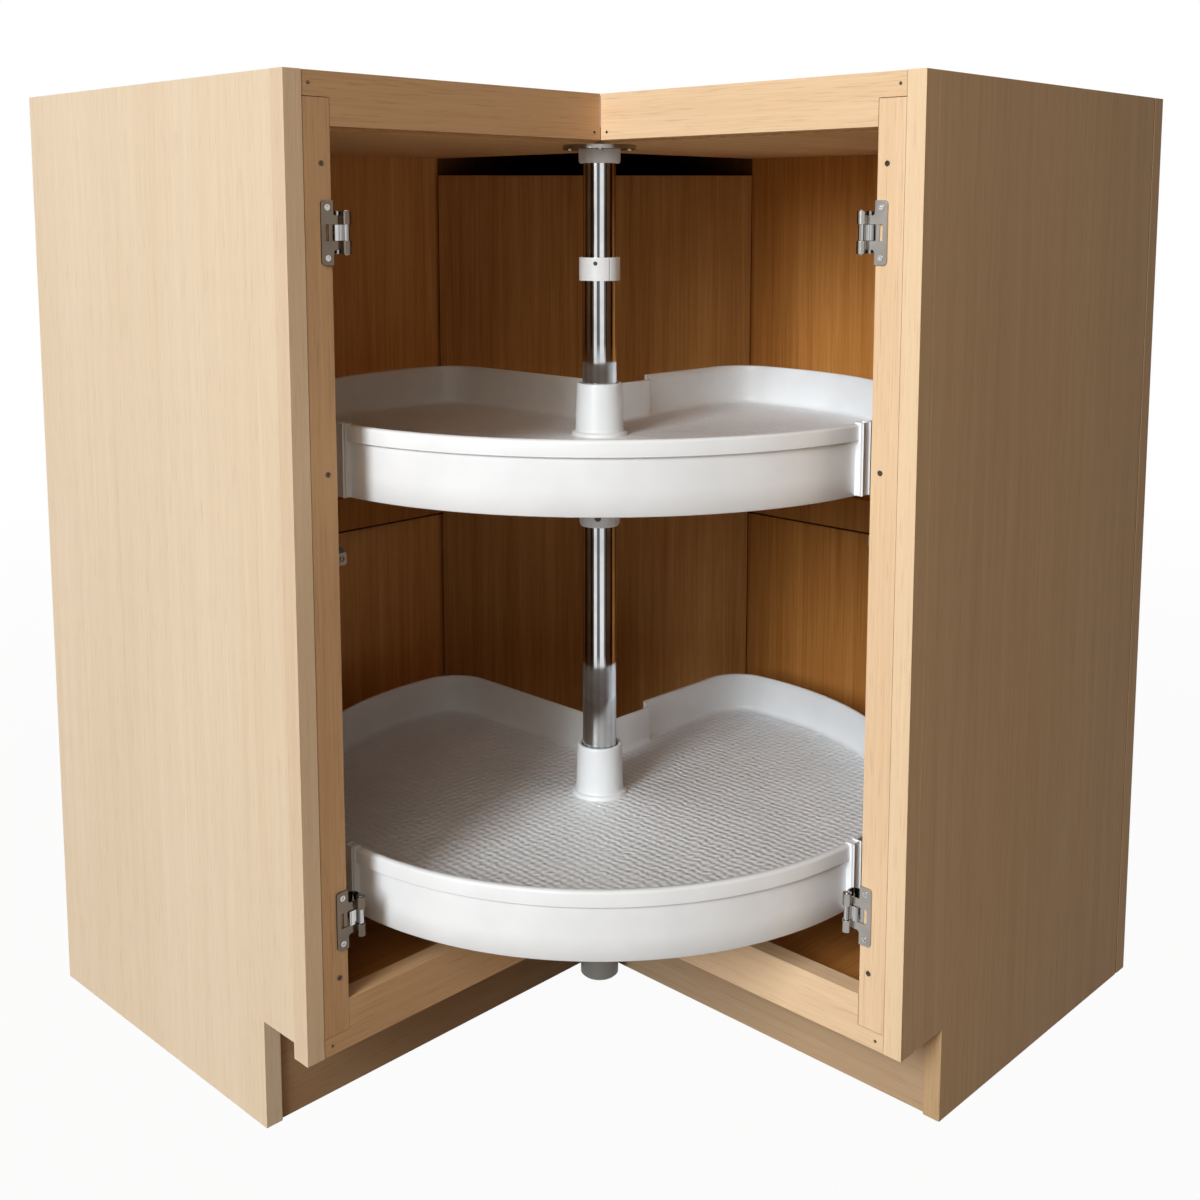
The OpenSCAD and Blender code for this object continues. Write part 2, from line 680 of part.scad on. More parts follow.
end_panel_left();
end_panel_right();
corner_post_left();
corner_post_right();
stile_left();
stile_right();
top_rail_left();
top_rail_right();
bottom_rail_left();
bottom_rail_right();
toe_board_left();
toe_board_right();
top_panel();
floor_panel();
back_panel_left();
back_panel_right();
corner_panel();
corner_cover();
cleat_left();
cleat_right();
catch_left();
catch_right();
catch_body_left();
catch_body_right();
hinge_frame_ul();
hinge_frame_ur();
hinge_frame_ll();
hinge_frame_lr();
hinge_pins();
hinge_screws();
frame_screws();
frame_pins();
top_plate();
plate_screws();
bearing_cap();
upper_tube();
lower_tube();
post_clip();
clip_screw();
thrust_collar();
collar_screw();
floor_socket();
socket_screws();
support_foot();
upper_tray();
upper_bushes();
lower_tray();
lower_bushes();
hinge_door_ul();
hinge_door_ur();
hinge_door_ll();
hinge_door_lr();
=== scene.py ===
"""Looks for the corner carousel cabinet: boards, moulded trays, metal, camera and light. Metres."""

import json
import math

import bmesh
import bpy
from mathutils import Matrix, Vector


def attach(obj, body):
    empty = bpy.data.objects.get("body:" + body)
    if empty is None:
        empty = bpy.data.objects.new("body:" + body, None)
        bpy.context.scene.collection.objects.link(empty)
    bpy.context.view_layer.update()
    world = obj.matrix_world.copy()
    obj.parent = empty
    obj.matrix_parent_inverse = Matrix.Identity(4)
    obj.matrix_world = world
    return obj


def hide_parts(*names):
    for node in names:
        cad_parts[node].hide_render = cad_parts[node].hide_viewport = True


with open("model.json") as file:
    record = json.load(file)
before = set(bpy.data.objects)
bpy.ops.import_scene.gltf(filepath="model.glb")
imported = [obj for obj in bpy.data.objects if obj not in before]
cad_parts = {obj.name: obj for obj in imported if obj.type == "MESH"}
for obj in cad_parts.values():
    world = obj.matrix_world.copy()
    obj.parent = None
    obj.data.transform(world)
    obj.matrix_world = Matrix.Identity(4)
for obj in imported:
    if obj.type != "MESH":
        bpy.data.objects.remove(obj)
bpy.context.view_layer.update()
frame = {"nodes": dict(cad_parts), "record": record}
BODIES = frame["record"]["behaviour"]["bodies"]
BODY_OF = {node: body for body, nodes in BODIES.items() for node in nodes}
SLOT_OF = {part["node"]: part["material_slot"] for part in frame["record"]["subparts"]}
MM = 0.001


# ---------------------------------------------------------------- materials
GRAIN = {  # noise per metre, across the grain and along it
    "cloud": (7, 1.3),
    "bands": (85, 1.6),
    "fibres": (430, 7),
    "pores": (1100, 26),
}
MIDDLE = (0.3, 0.7)  # where most of a noise's values lie
WOOD_ROUGHNESS, WOOD_SPECULAR = (0.4, 0.53), 0.07
PORE_SHARE, PORE_SHADE = 0.3, 0.5
PLASTIC_GRAIN, PLASTIC_CLOUD, METAL_CLOUD = (900,) * 3, (14,) * 3, (35,) * 3
WOOD_BUMP, PLASTIC_BUMP, METAL_BUMP = (0.25, 0.00012), (0.12, 0.00012), (0.05, 0.00005)
RIDGE_PITCH, RIDGE_DEPTH, RIDGE_SWAY = 0.008, 0.00033, 0.007
# the second scale is that of the painted reflection streaks along Z
BRUSHED, REFLECTION_STREAKS = (260, 260, 30), (420, 420, 0.8)
REFLECTION_STRIPES, REFLECTION_TURN = 15, math.radians(140.2)  # painted reflection stripes round a tube, and where they start
STRIPE_FREE_SPANS = ((0.282, 0.045), (0.612, 0.022))  # tube above the hubs, where the painted reflection stripes fade: middle and half length
STRIPE_FADE_EDGE, STRIPE_FADE_LEFT = 0.01, 0.15  # how softly the stripes fade there, and what is left of them
REAR_SHADE_TOP, REAR_SHADE_WALL = 0.851, 0.3725  # limits of the painted shade in the rear corner, just past the inner faces


def srgb(r, g, b):
    """A colour written as 0-255 values, as the linear colour that sockets take."""
    shares = (c / 255 for c in (r, g, b))
    return (*(s / 12.92 if s <= 0.04045 else ((s + 0.055) / 1.055) ** 2.4 for s in shares), 1.0)


def shaded(colour, share):
    """The colour with its red, green and blue scaled by one share."""
    return (*(c * share for c in colour[:3]), 1.0)


class Look:
    """A node material under construction; object coordinates are metres in the CAD's frame."""

    def __init__(self, name):
        self.material = bpy.data.materials.new(name)
        self.material.use_nodes = True
        self.tree = self.material.node_tree
        self.shader = self.tree.nodes["Principled BSDF"]
        self.coords = self.node("ShaderNodeTexCoord").outputs["Object"]

    def node(self, kind, **values):
        """A new node whose inputs and settings are given by name."""
        made = self.tree.nodes.new(kind)
        for key, value in values.items():
            if key in made.inputs:
                made.inputs[key].default_value = value
            else:
                setattr(made, key, value)
        return made

    def link(self, out, into):
        self.tree.links.new(out, into)

    def feed(self, pairs):
        """Puts each value in its socket, as a link if it comes from a node."""
        for socket, value in pairs:
            if isinstance(value, (int, float, tuple)):
                socket.default_value = value
            else:
                self.link(value, socket)

    def set(self, **values):
        """Sets the shader's own inputs; an underscore stands for a space."""
        for key, value in values.items():
            self.shader.inputs[key.replace("_", " ")].default_value = value

    def place(self, axis):
        """The coordinate on one axis."""
        split = self.node("ShaderNodeSeparateXYZ")
        self.link(self.coords, split.inputs[0])
        return split.outputs[axis]

    def noise(self, scale, detail=3.0, roughness=0.55, distortion=0.0):
        """Noise with a scale of its own on each axis."""
        mapping = self.node("ShaderNodeMapping", Scale=scale)
        self.link(self.coords, mapping.inputs["Vector"])
        made = self.node("ShaderNodeTexNoise", Scale=1.0, Detail=detail, Roughness=roughness,
                         Distortion=distortion)
        self.link(mapping.outputs["Vector"], made.inputs["Vector"])
        return made.outputs["Fac"]

    def stretch(self, value, low, high, to_low=0.0, to_high=1.0):
        """The value moved from one range to another, and kept inside it."""
        made = self.node("ShaderNodeMapRange")
        ends = ("From Min", "From Max", "To Min", "To Max")
        self.feed(zip((made.inputs[end] for end in ends), (low, high, to_low, to_high)))
        self.link(value, made.inputs["Value"])
        return made.outputs["Result"]

    def math(self, operation, *values):
        made = self.node("ShaderNodeMath", operation=operation)
        self.feed(zip(made.inputs, values))
        return made.outputs["Value"]

    def blend(self, factor, first, second, mode="MIX"):
        """Two colours mixed; 0, 6 and 7 are the sockets of a colour mix."""
        made = self.node("ShaderNodeMix", data_type="RGBA", blend_type=mode)
        self.feed(zip((made.inputs[i] for i in (0, 6, 7)), (factor, first, second)))
        return made.outputs[2]

    def bump(self, height, strength, distance):
        made = self.node("ShaderNodeBump", Strength=strength, Distance=distance)
        self.link(height, made.inputs["Height"])
        self.link(made.outputs["Normal"], self.shader.inputs["Normal"])

    def finish(self, colour, roughness):
        """Links the two main inputs and gives the material."""
        self.link(colour, self.shader.inputs["Base Color"])
        self.link(roughness, self.shader.inputs["Roughness"])
        return self.material


def rear_corner_shade(look, start, end, at_start, at_end):
    """How dark the painted shade in the rear corner is: only on the inner faces, under the top."""
    x, y = look.place("X"), look.place("Y")
    along_wall = look.math("MINIMUM", x, y)
    share = look.stretch(along_wall, start, end, at_start, at_end)
    for inside in (
        look.math("GREATER_THAN", along_wall, start),
        look.math("LESS_THAN", look.math("MAXIMUM", x, y), REAR_SHADE_WALL),
        look.math("LESS_THAN", look.place("Z"), REAR_SHADE_TOP),
    ):
        share = look.math("MULTIPLY", share, inside)
    return share


def wood(name, colours, along, streak=0.3, fibre=0.3, rear_shade=None, strip_and_shadow=None, fade=None):
    """Fine straight-grained wood in a light and a dark colour, its grain along one axis.

    `streak` and `fibre` are the strength of the bands and the fibres. `rear_shade` paints shade
    into the rear corner: (start, end, share at start, share at end), the first two as distances
    from the post along the walls. `strip_and_shadow` is (axis, limit, tint): below the limit on
    that axis the board has the tint, a narrow edge strip on the left end panel and a painted
    shadow line under the cleats. `fade` is (axis, start, end, tint): from one place to the other
    painted shade deepens the veneer to the tint.
    """
    look = Look(name)
    light, dark = colours

    def grain(kind, **values):
        across, lengthwise = GRAIN[kind]
        return look.noise(tuple(lengthwise if a == along else across for a in "XYZ"), **values)

    cloud = look.stretch(grain("cloud"), *MIDDLE, -0.14, 0.16)
    bands = look.stretch(grain("bands", detail=5, distortion=0.2), *MIDDLE)
    fibres = look.stretch(grain("fibres"), 0.32, 0.68)
    pores = look.stretch(grain("pores", detail=1), 0.6, 0.74)
    streaks = look.math("MULTIPLY", bands, streak)
    tone = look.math("ADD", streaks, look.math("MULTIPLY", fibres, fibre))
    colour = look.blend(look.math("ADD", tone, cloud), light, dark)
    porous = look.math("MULTIPLY", pores, PORE_SHARE)
    colour = look.blend(porous, colour, shaded(dark, PORE_SHADE))
    # painted shade deep in the rear corner, behind the diagonal board
    if rear_shade:
        colour = look.blend(rear_corner_shade(look, *rear_shade), colour, REAR_SHADE_COLOUR)
    # a tint below a limit: the left end panel's edge strip, and the painted shadow line under the
    # cleats
    if strip_and_shadow:
        axis, limit, tint = strip_and_shadow
        strip = look.math("LESS_THAN", look.place(axis), limit)
        colour = look.blend(strip, colour, (*tint, 1.0), "MULTIPLY")
    # painted shade: the colour darkens along one axis towards the tint
    if fade:
        axis, start, end, tint = fade
        share = look.stretch(look.place(axis), start, end)
        colour = look.blend(share, colour, (*tint, 1.0), "MULTIPLY")
    look.bump(look.math("SUBTRACT", fibres, pores), *WOOD_BUMP)
    look.set(Specular_IOR_Level=WOOD_SPECULAR)
    return look.finish(colour, look.stretch(fibres, 0.0, 1.0, *WOOD_ROUGHNESS))


def tray_ridges(look):
    """A woven grid of waves in X and Y, each a little crooked and patchy."""
    waves = []
    for axis, stretch in (("X", (55, 90, 55)), ("Y", (90, 55, 55))):
        sway = look.math("MULTIPLY", look.noise(stretch, detail=1), RIDGE_SWAY)
        crooked = look.math("ADD", look.place(axis), sway)
        waves.append(look.math("SINE", look.math("MULTIPLY", crooked, 2 * math.pi / RIDGE_PITCH)))
    patchy = look.stretch(look.noise((110,) * 3, detail=2), 0.3, 0.65, 0.5, 1.2)
    return look.math("MULTIPLY", look.math("ADD", *waves), patchy)


def plastic(name, colour, roughness, relief=False):
    """Moulded plastic with a fine grain; `relief` adds the tray floor's grid of shallow ridges,
    with painted shade in their valleys.
    """
    look = Look(name)
    fine = look.noise(PLASTIC_GRAIN, detail=2)
    cloud = look.stretch(look.noise(PLASTIC_CLOUD), 0.35, 0.65)
    shade = look.blend(cloud, colour, shaded(colour, 0.93))
    if relief:
        ridges = tray_ridges(look)
        # painted shade: the valleys between the ridges are darker
        valley_shade = look.stretch(ridges, -1.6, 0.4, 0.5, 0.0)
        shade = look.blend(valley_shade, shade, shaded(colour, 0.82))
        look.bump(ridges, 1.0, RIDGE_DEPTH)
    else:
        look.bump(fine, *PLASTIC_BUMP)
    return look.finish(shade, look.stretch(fine, *MIDDLE, roughness - 0.05, roughness + 0.05))


def reflection_lines(look, tube):
    """Painted reflection streaks along Z; a tube has them at a regular turn, save by its hubs."""
    lines = look.stretch(look.noise(REFLECTION_STREAKS, roughness=0.7), 0.42, 0.62)
    if not tube:
        return lines
    turn = look.math("ADD", look.math("ARCTAN2", look.place("Y"), look.place("X")), REFLECTION_TURN)
    wave = look.math("COSINE", look.math("MULTIPLY", turn, REFLECTION_STRIPES))
    lines = look.stretch(look.math("MULTIPLY_ADD", lines, 0.6, wave), 0.4, 0.68)
    for middle, half in STRIPE_FREE_SPANS:
        away = look.math("ABSOLUTE", look.math("SUBTRACT", look.place("Z"), middle))
        left = look.stretch(away, half - STRIPE_FADE_EDGE, half + STRIPE_FADE_EDGE, STRIPE_FADE_LEFT, 1.0)
        lines = look.math("MULTIPLY", lines, left)
    return lines


def metal(name, colour, roughness, brushed=BRUSHED, reflection_streaks=0.0, tube=False):
    """Plated metal; `reflection_streaks` is how dark its painted reflection streaks are."""
    look = Look(name)
    fine = look.noise(brushed, detail=2)
    cloud = look.stretch(look.noise(METAL_CLOUD, detail=2), 0.4, 0.7)
    shade = look.blend(cloud, colour, shaded(colour, 0.8))
    # painted reflection: dark streaks that stand in for the interior seen in the metal
    if reflection_streaks:
        lines = look.math("MULTIPLY", reflection_lines(look, tube), reflection_streaks)
        shade = look.blend(lines, shade, shaded(colour, 0.12))
    look.bump(fine, *METAL_BUMP)
    look.set(Metallic=1.0)
    return look.finish(shade, look.stretch(fine, *MIDDLE, roughness * 0.75, roughness * 1.35))


# Each veneer's light and dark grain colour; the darker copies for the boards and post faces
# that look towards -Y are painted shade, and those towards -X keep the lit colours.
PANEL = srgb(231, 213, 188), srgb(218, 195, 163)
PANEL_SHADED = srgb(215, 184, 143), srgb(196, 160, 117)
POST = srgb(244, 218, 182), srgb(229, 197, 157)
POST_SHADED = srgb(238, 213, 180), srgb(221, 191, 154)
FRAME = srgb(243, 214, 178), srgb(222, 183, 138)
FRAME_SHADED = srgb(217, 179, 137), srgb(191, 148, 104)
# the toe boards, recessed under the bottom rails, are darker: painted shade, deeper on the one
# towards -Y
TOE_LEFT = srgb(176, 146, 112), srgb(156, 120, 82)
TOE_RIGHT = srgb(196, 171, 141), srgb(178, 145, 108)
# the inner wood; its copies for the right wall, the diagonal board, the floor and the cleats are
# darker, painted shade, and the one under the top is lighter, painted light
WALL = srgb(241, 184, 116), srgb(208, 147, 80)
WALL_RIGHT = srgb(222, 158, 86), srgb(186, 120, 56)
CORNER = srgb(218, 162, 98), srgb(180, 126, 68)
BASE = srgb(200, 138, 74), srgb(160, 104, 50)
TOP = srgb(246, 204, 150), srgb(218, 170, 114)
# the colour of the painted shade in the rear corner
REAR_SHADE_COLOUR = srgb(40, 24, 11)
PANEL_EDGING = ("Y", -0.023, (0.94, 0.91, 0.88))
# painted shade: the right end panel darkens towards its back edge
PANEL_SHADE_FADE = ("X", -0.3, 0.38, (0.7, 0.67, 0.63))
# painted shadow: a dark line along the cleats' lower edge
CLEAT_SHADOW_LINE = ("Z", 0.4102, (0.1, 0.08, 0.06))
# where painted shade darkens the rear corner, on the walls and under the top
WALL_REAR_SHADE, TOP_REAR_SHADE = (0.1075, 0.21, 0.78, 0.97), (0.11, 0.2, 0.0, 0.85)
LOOKS = {
    "panel": wood("maple_panel", PANEL, "Z", strip_and_shadow=PANEL_EDGING),
    "panel_right": wood("maple_panel_right", PANEL_SHADED, "Z", fade=PANEL_SHADE_FADE),
    "post": wood("maple_post", POST, "Z"),
    "post_left": wood("maple_post_left", POST_SHADED, "Z"),
    "upright": wood("maple_upright", FRAME, "Z"),
    "upright_left": wood("maple_upright_left", FRAME_SHADED, "Z"),
    "rail_left": wood("maple_rail_x", FRAME_SHADED, "X"),
    "rail_right": wood("maple_rail_y", FRAME, "Y"),
    "toe_left": wood("toe_board_x", TOE_LEFT, "X"),
    "toe_right": wood("toe_board_y", TOE_RIGHT, "Y"),
    "wall": wood("inside_wall", WALL, "Z", streak=0.5, fibre=0.5, rear_shade=WALL_REAR_SHADE),
    "wall_right": wood("inside_wall_right", WALL_RIGHT, "Z", streak=0.5, fibre=0.5,
                       rear_shade=WALL_REAR_SHADE),
    "corner": wood("diagonal_board", CORNER, "Z", streak=0.5, fibre=0.5),
    "base": wood("inside_floor", BASE, "X", streak=0.5, fibre=0.4),
    "cleat": wood("wall_cleat", BASE, "Z", streak=0.5, fibre=0.5, strip_and_shadow=CLEAT_SHADOW_LINE),
    "top": wood("inside_top_x", TOP, "X", streak=0.5, fibre=0.4, rear_shade=TOP_REAR_SHADE),
    "cover": wood("inside_top_y", TOP, "Y", streak=0.5, fibre=0.4, rear_shade=TOP_REAR_SHADE),
    "white": plastic("white_plastic", srgb(244, 248, 251), 0.36),
    "ribbed": plastic("white_ribbed_floor", srgb(243, 247, 250), 0.42, relief=True),
    "grey": plastic("grey_plastic", srgb(150, 150, 147), 0.45),
    "black": plastic("black_plastic", srgb(24, 24, 25), 0.4),
    "chrome": metal("chrome_tube", srgb(222, 224, 226), 0.05, (40, 40, 6), reflection_streaks=0.96, tube=True),
    "plated": metal("plated_sheet", srgb(172, 167, 161), 0.2),
    # painted shade: a darker copy of the plated sheet for the left hinges and catch
    "plated_shaded": metal("plated_sheet_shaded", srgb(112, 100, 88), 0.18),
    "polished": metal("polished_sheet", srgb(205, 203, 200), 0.08, reflection_streaks=0.85),
    "screw": metal("plated_screw", srgb(196, 194, 190), 0.2),
    "pin": metal("dull_pin", srgb(92, 84, 74), 0.4),
}


# ---------------------------------------------------------------- pieces
BOARD_EDGE, FITTING_EDGE, SEAM = 0.5, 0.25, 0.3  # in mm
WELD = 1e-6  # vertices closer than this, in metres, are one
FLAT_BELOW, SOFT_FROM = math.radians(1), math.radians(35)
SHARP_FROM, TRAY_SHARP_FROM = math.radians(32), math.radians(50)
FACES_FRONT = -0.9  # the Y of a normal that points to the front is below this


def add(name, mesh, body, slot, *looks):
    """Puts a finished mesh in the scene as a piece of a body."""
    piece = bpy.data.objects.new(name, mesh)
    bpy.context.scene.collection.objects.link(piece)
    for look in looks:
        mesh.materials.append(LOOKS[look])
    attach(piece, body)
    return piece


def mark_sharp(bm, sharp_from=SHARP_FROM):
    """Shades smoothly, but for the edges where faces meet at more than the angle."""
    for face in bm.faces:
        face.smooth = True
    for edge in bm.edges:
        edge.smooth = len(edge.link_faces) == 2 and edge.calc_face_angle(0) < sharp_from


def carry(node, look, edge, seam=0.0, front=None):
    """Adds a copy of a CAD node with its own finish; `edge` is the width of its soft edges in mm.

    `seam` is how far its faces draw back, in mm, so that joined boards show a fine open line.
    `front` is the look of the faces towards -Y: a darker copy of the veneer, painted shade.
    """
    mesh = frame["nodes"][node].data.copy()
    mesh.materials.clear()
    bm = bmesh.new()
    bm.from_mesh(mesh)
    bmesh.ops.remove_doubles(bm, verts=bm.verts, dist=WELD)
    bmesh.ops.dissolve_limit(bm, angle_limit=FLAT_BELOW, verts=bm.verts, edges=bm.edges)
    if seam:
        shifts = [(v, v.normal * v.calc_shell_factor()) for v in bm.verts]
        for v, shift in shifts:
            v.co -= shift * seam * MM
    mark_sharp(bm)
    for face in bm.faces:
        face.material_index = int(bool(front) and face.normal.y < FACES_FRONT)
    bm.to_mesh(mesh)
    bm.free()
    piece = add(node + "_look", mesh, BODY_OF[node], SLOT_OF[node], *filter(None, (look, front)))
    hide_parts(node)
    soft = piece.modifiers.new("soft_edges", "BEVEL")
    soft.width, soft.segments = edge * MM, 2
    soft.limit_method, soft.angle_limit = "ANGLE", SOFT_FROM
    soft.harden_normals = True


BOARDS = {
    "panel": ["end_panel_left", "corner_post_left"],
    "post": ["corner_post_right"],
    "panel_right": ["end_panel_right"],
    "upright": ["stile_right"],
    "upright_left": ["stile_left"],
    "rail_left": ["top_rail_left", "bottom_rail_left"],
    "rail_right": ["top_rail_right", "bottom_rail_right"],
    "toe_left": ["toe_board_left"],
    "toe_right": ["toe_board_right"],
    "wall": ["back_panel_left"],
    "wall_right": ["back_panel_right"],
    "corner": ["corner_panel"],
    "cleat": ["cleat_left", "cleat_right"],
    "base": ["floor_panel"],
    "top": ["top_panel"],
    "cover": ["corner_cover"],
}
# painted shade: the posts' faces towards -Y take a darker copy of the veneer
SHADED_FRONTS = {"corner_post_left": "post_left", "corner_post_right": "panel_right"}
OPEN_JOINTED = ("rail_left", "rail_right", "upright", "upright_left")
HINGES = ("ul", "ur", "ll", "lr")
FITTINGS = {
    "plated": ["catch_right", "top_plate", "hinge_frame_ur", "hinge_frame_lr"],
    "plated_shaded": ["catch_left", "hinge_frame_ul", "hinge_frame_ll"],
    "polished": ["hinge_pins"] + [f"hinge_door_{place}" for place in HINGES],
    "screw": ["hinge_screws", "plate_screws", "socket_screws"],
    "pin": ["frame_screws", "frame_pins"],
    "white": ["bearing_cap", "post_clip", "thrust_collar", "floor_socket"],
    "chrome": ["upper_tube", "lower_tube"],
    "grey": ["support_foot", "upper_bushes", "lower_bushes"],
    "black": ["catch_body_left", "catch_body_right", "clip_screw", "collar_screw"],
}
for look, nodes in BOARDS.items():
    for node in nodes:
        carry(node, look, BOARD_EDGE, SEAM if look in OPEN_JOINTED else 0.0, SHADED_FRONTS.get(node))
for look, nodes in FITTINGS.items():
    for node in nodes:
        carry(node, look, FITTING_EDGE)


# ---------------------------------------------------------------- trays, sizes in mm, rim at z = 0
RADIUS, NOTCH, LOBE = 302.0, 70.0, 45.0
JOG_IN, JOG_END, JOG_DROP = 8.0, 139.0, 4.5
JOG_CONVEX, JOG_HOLLOW = 3.6, 2.0  # roundings of the step in the notch's wall
HEIGHT, DEPTH, UNDER, SKIRT = 61.0, 42.0, 45.0, 3.0
LIP_OUT, LIP_FOOT = 3.0, -14.1
RIB_ANGLE, RIB_WIDTH, RIB_OUT, RIB_SUNK = -0.5, 10.0, 6.0, 1.0
RIB_MIDDLE, RIB_HEIGHT = -HEIGHT / 2 + 1, HEIGHT - 3
SLEEVE, SLEEVE_END, BORE = 20.5, 111.0, 18.7
BRACES, BRACE_END, BRACE_WIDTH = 16, 6.0, 2.4
BRACE_Z, BRACE_RINGS, RING_END = (-57.0, -44.0), (90.6, 190.3), 4.0
NUB_FROM_AXIS, NUB_SIZE = 37.0, (5.0, 3.4, 2.4)
RIB_ROUND, BRACE_ROUND, NUB_ROUND = 1.6, 0.6, 1.1
RIMS = {"upper_tray": 596, "lower_tray": 234}
OUTSIDE = [  # (inset, z, share of the lip) from the skirt's foot to the rim
    (SKIRT, -HEIGHT + 0.6, 0), (2.4, -HEIGHT, 0), (1.2, -HEIGHT, 0), (0.5, -HEIGHT + 0.7, 0),
    (0.3, -40, 0), (0.1, -14.6, 0), (0.1, -14.2, 0), (0.0, -14.0, 0.75), (0.0, -13.4, 1),
    (0.0, -2.6, 1), (0.0, -1.5, 0.9), (0.2, -0.5, 0.65), (0.7, 0.0, 0.3),
]
INSIDE = [  # on over the rim and down to the floor
    (1.6, 0.0, 0), (2.5, -0.3, 0), (3.0, -1.2, 0), (3.1, -8, 0), (3.4, -36, 0),
    (3.8, -38.6, 0), (4.9, -40.7, 0), (6.8, -41.8, 0), (9.0, -DEPTH, 0),
]
HUB = [  # (radius, z) from the floor up to its top and into the bore
    (28.4, -DEPTH), (27.4, -41.6), (26.9, -40.6), (26.7, -38.8), (25.9, -38.1), (24.3, -37.9),
    (23.6, -37.2), (23.4, -35), (22.2, 6), (21.7, 8.3), (21.1, 9), (19.3, 9), (BORE, 8.4),
    (BORE, -8),
]
BELOW = [  # (radius, z) from under the floor down the sleeve and into the bore
    (27, -UNDER), (24, -46), (21.6, -49), (SLEEVE, -54), (SLEEVE, -SLEEVE_END + 0.6),
    (SLEEVE - 0.6, -SLEEVE_END), (BORE + 0.5, -SLEEVE_END), (BORE, -SLEEVE_END + 0.5), (BORE, -94),
]
TURN_STEPS, RING_STEPS = 64, 96


def arc(centre, radius, start, end, steps):
    """Points on an arc, its ends given in degrees."""
    turns = (math.radians(start + (end - start) * i / steps) for i in range(steps + 1))
    return [(centre[0] + radius * math.cos(t), centre[1] + radius * math.sin(t)) for t in turns]


def outline(inset, lip=0.0):
    """The tray's plan inside its wall by `inset`, anticlockwise: (x, y, on the stepped stretch).

    The step lies on one side of the notch only; `lip` moves the front outwards.
    """
    near = NOTCH - LOBE
    far = math.sqrt((RADIUS - LOBE) ** 2 - near**2)
    turn = math.degrees(math.atan2(far, near))
    convex, hollow = JOG_CONVEX, JOG_HOLLOW
    lip_from, lip_to = 180 - RIB_ANGLE, 270 + RIB_ANGLE
    low = NOTCH - JOG_IN + hollow
    stretches = [
        (arc((0, 0), RADIUS - inset, turn, lip_from, 44)[:-1], False),
        (arc((0, 0), RADIUS - inset + lip, lip_from, lip_to, 48), False),
        (arc((0, 0), RADIUS - inset, lip_to, 450 - turn, 44)[1:-1], False),
        (arc((far, near), LOBE - inset, 90 - turn, 90, 14), False),
        (arc((JOG_END + convex, NOTCH - convex), convex - inset, 90, 180, 4), False),
        (arc((JOG_END - hollow, low), hollow + inset, 0, -90, 3), True),
        (arc((NOTCH + hollow, low), hollow + inset, -90, -180, 3), True),
        (arc((NOTCH + hollow, low + JOG_IN), hollow + inset, -180, -180, 1)[:1], False),
        (arc((near, far), LOBE - inset, 0, turn, 14)[:-1], False),
    ]
    return [(x, y, stepped) for points, stepped in stretches for x, y in points]


def loop(bm, points):
    """New vertices from points in mm."""
    return [bm.verts.new([c * MM for c in p]) for p in points]


def skin(bm, loops, closed=True):
    """Quads between loops of equal length."""
    for a, b in zip(loops, loops[1:]):
        for i in range(len(a) if closed else len(a) - 1):
            j = (i + 1) % len(a)
            bm.faces.new((a[i], a[j], b[j], b[i]))


def turned(bm, profile):
    """A profile of (radius, z), turned round the axis; gives its first loop."""
    loops = [
        loop(bm, [(x, y, z) for x, y in arc((0, 0), radius, 0, 360, TURN_STEPS)[:-1]])
        for radius, z in profile
    ]
    skin(bm, loops)
    return loops[0]


def plate(bm, rim, hole, material):
    """The flat face between a rim and a hole."""
    edges = []
    for ring in (rim, hole):
        pairs = zip(ring, ring[1:] + ring[:1])
        edges += [bm.edges.get(pair) or bm.edges.new(pair) for pair in pairs]
    filled = bmesh.ops.triangle_fill(bm, use_beauty=True, use_dissolve=False, edges=edges)
    for face in filled["geom"]:
        if isinstance(face, bmesh.types.BMFace):
            face.material_index = material


def block(bm, centre, size, angle, rounding):
    """A rounded box, turned about z by an angle in degrees."""
    made = bmesh.ops.create_cube(bm, size=1)["verts"]
    t = math.radians(angle)
    for v in made:
        x, y, z = (c * s for c, s in zip(v.co, size))
        turned_to = (x * math.cos(t) - y * math.sin(t), x * math.sin(t) + y * math.cos(t), z)
        v.co = [(c + shift) * MM for c, shift in zip(centre, turned_to)]
    edges = list({e for v in made for e in v.link_edges})
    bmesh.ops.bevel(bm, geom=edges, offset=rounding * MM, segments=3, affect="EDGES", profile=0.5)


def braces(bm):
    """Ribs and rings under the tray's floor, kept inside its plan."""
    low, high = BRACE_Z
    for turn in (360 / BRACES * i for i in range(BRACES)):
        t = math.radians(turn)
        reach = NOTCH / max(math.cos(t), math.sin(t)) if 0 < turn < 90 else RADIUS
        length = reach - BRACE_END - SLEEVE
        middle = SLEEVE + length / 2
        block(bm, (middle * math.cos(t), middle * math.sin(t), (low + high) / 2),
              (length, BRACE_WIDTH, high - low), turn, BRACE_ROUND)
    for radius in BRACE_RINGS:
        whole = radius + BRACE_WIDTH < math.hypot(NOTCH, NOTCH - JOG_IN)
        side = 0 if whole else math.degrees(math.asin((NOTCH - JOG_IN - RING_END) / radius))
        start, end = (0, 360) if whole else (90 - side, 360 + side)
        outer = radius + BRACE_WIDTH
        rows = [
            loop(bm, [(x, y, z) for x, y in arc((0, 0), r, start, end, RING_STEPS)[:-1]])
            for r, z in ((radius, high), (radius, low), (outer, low), (outer, high))
        ]
        skin(bm, rows + rows[:1], closed=whole)
        if not whole:
            for tip in (0, -1):
                bm.faces.new([row[tip] for row in rows])


